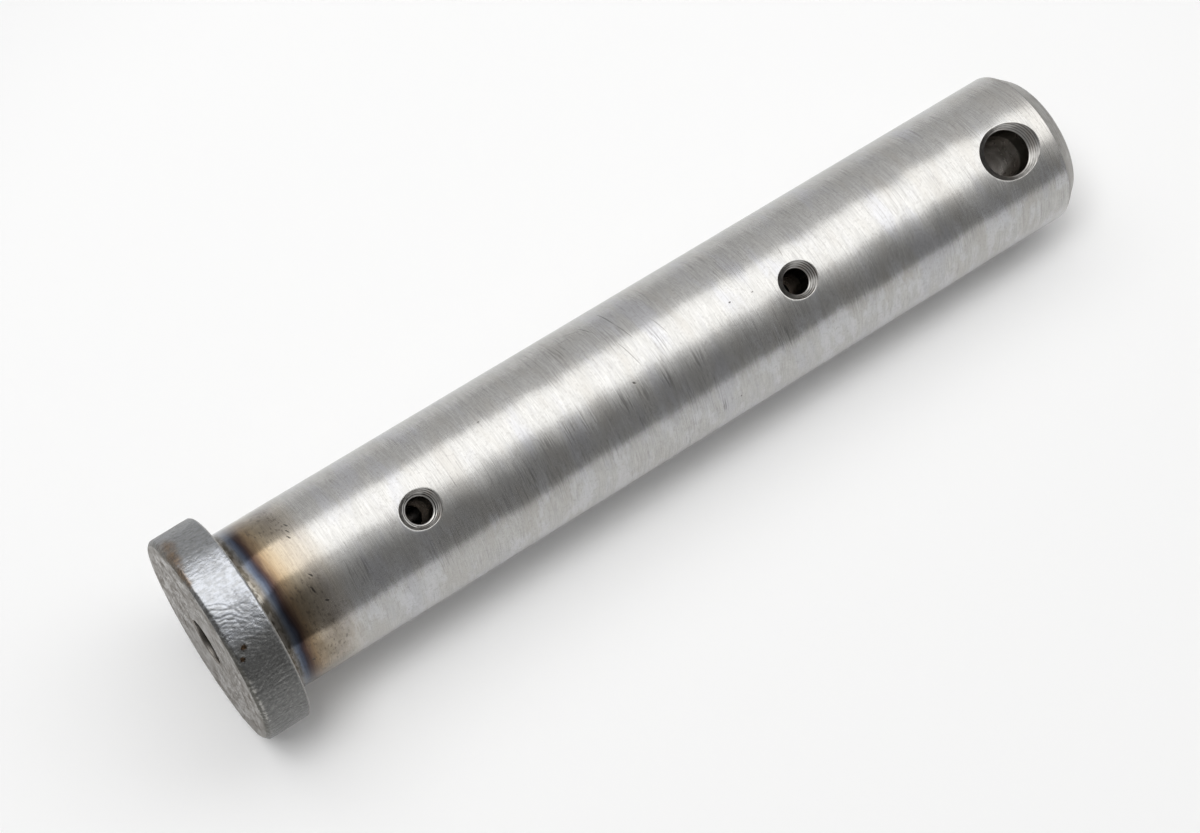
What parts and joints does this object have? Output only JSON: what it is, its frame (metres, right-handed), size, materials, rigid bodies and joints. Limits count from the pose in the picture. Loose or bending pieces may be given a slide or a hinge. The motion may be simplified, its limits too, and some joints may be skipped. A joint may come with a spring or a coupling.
{
  "type": "steel pin",
  "caption": "Round steel pivot pin with a disc head, a chamfered free end, a countersunk cross hole for a retaining bolt and greasing outlets in a row along the shaft.",
  "frame": {"origin": "centre of the head's outer face, on which the pin stands", "axes": "+Z along the pin to its free end; the row of outlets and the cross hole face -Y"},
  "size_m": [0.065, 0.065, 0.298],
  "materials": {
    "steel": "ground and turned bare steel with a rough dark head rim and temper colours beside the head"
  },
  "bodies": {
    "root": {"pin": "steel"}
  },
  "joints": []
}
